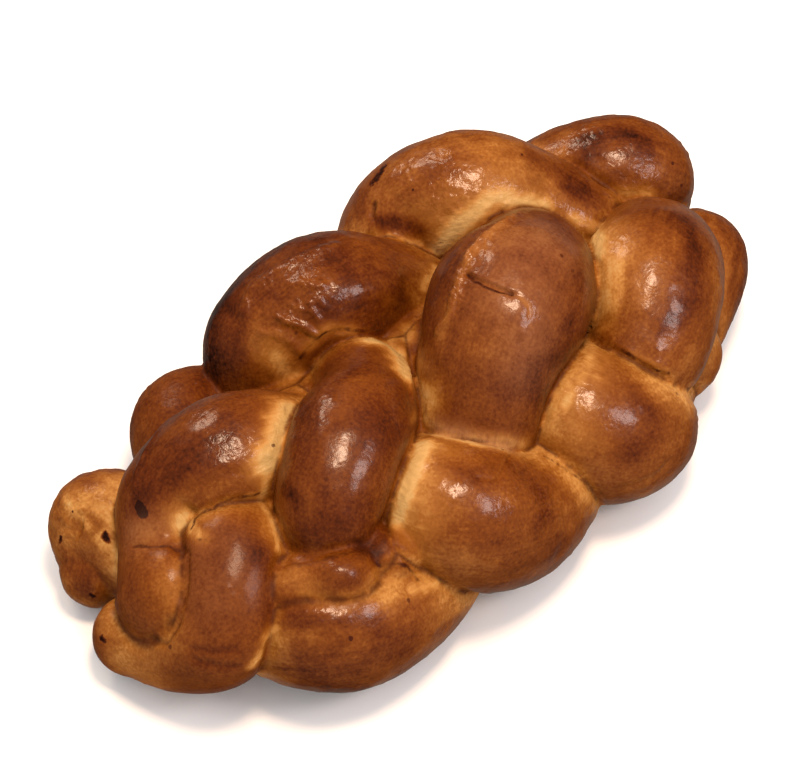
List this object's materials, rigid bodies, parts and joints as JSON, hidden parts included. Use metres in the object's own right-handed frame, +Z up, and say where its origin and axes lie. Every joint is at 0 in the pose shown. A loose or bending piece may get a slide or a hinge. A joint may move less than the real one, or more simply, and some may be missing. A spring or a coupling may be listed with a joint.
{
  "type": "braided sweet bread",
  "caption": "Uncut festive loaf of plaited dough with a glossy egg-washed crust, domed along its middle and flat underneath.",
  "frame": {"origin": "on the surface that the loaf rests on, under the middle of its box", "axes": "+X along the loaf towards the end that tapers away behind the highest lobe, +Y across it, +Z up"},
  "size_m": [0.3353, 0.1813, 0.1055],
  "materials": {
    "crust": "egg-washed crust, red-brown on the tops and pale golden in the creases, glossy with small blisters"
  },
  "bodies": {
    "root": {"loaf": "crust"}
  },
  "joints": []
}
